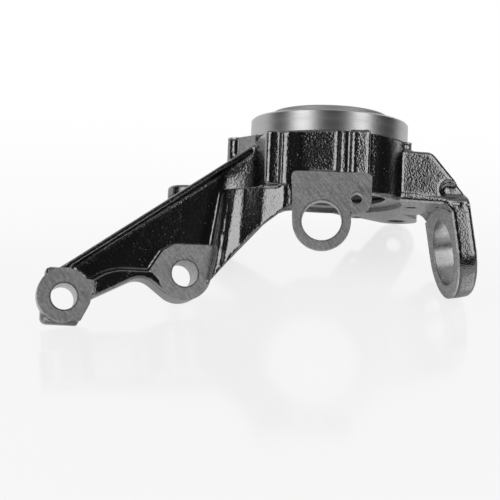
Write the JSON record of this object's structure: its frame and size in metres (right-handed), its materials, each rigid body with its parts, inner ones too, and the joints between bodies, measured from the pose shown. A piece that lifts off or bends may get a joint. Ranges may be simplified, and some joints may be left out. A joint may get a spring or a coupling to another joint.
{
  "type": "steering knuckle",
  "caption": "Cast steering knuckle: bearing housing with turned ring, forked strut arm, leaning ball-joint ear, caliper ears and sensor plate.",
  "frame": {"origin": "middle of the wheel bearing's seat, on the hub axis", "axes": "+Z along the hub axis, outboard; +X down the vehicle, from the strut arm to the ball-joint ear; strut bolts along Y"},
  "size_m": [0.2759, 0.1559, 0.1418],
  "materials": {
    "painted_iron": "gloss black paint over rough cast iron, with bare milled and turned seats"
  },
  "bodies": {
    "root": {"knuckle_casting": "painted_iron"}
  },
  "joints": []
}
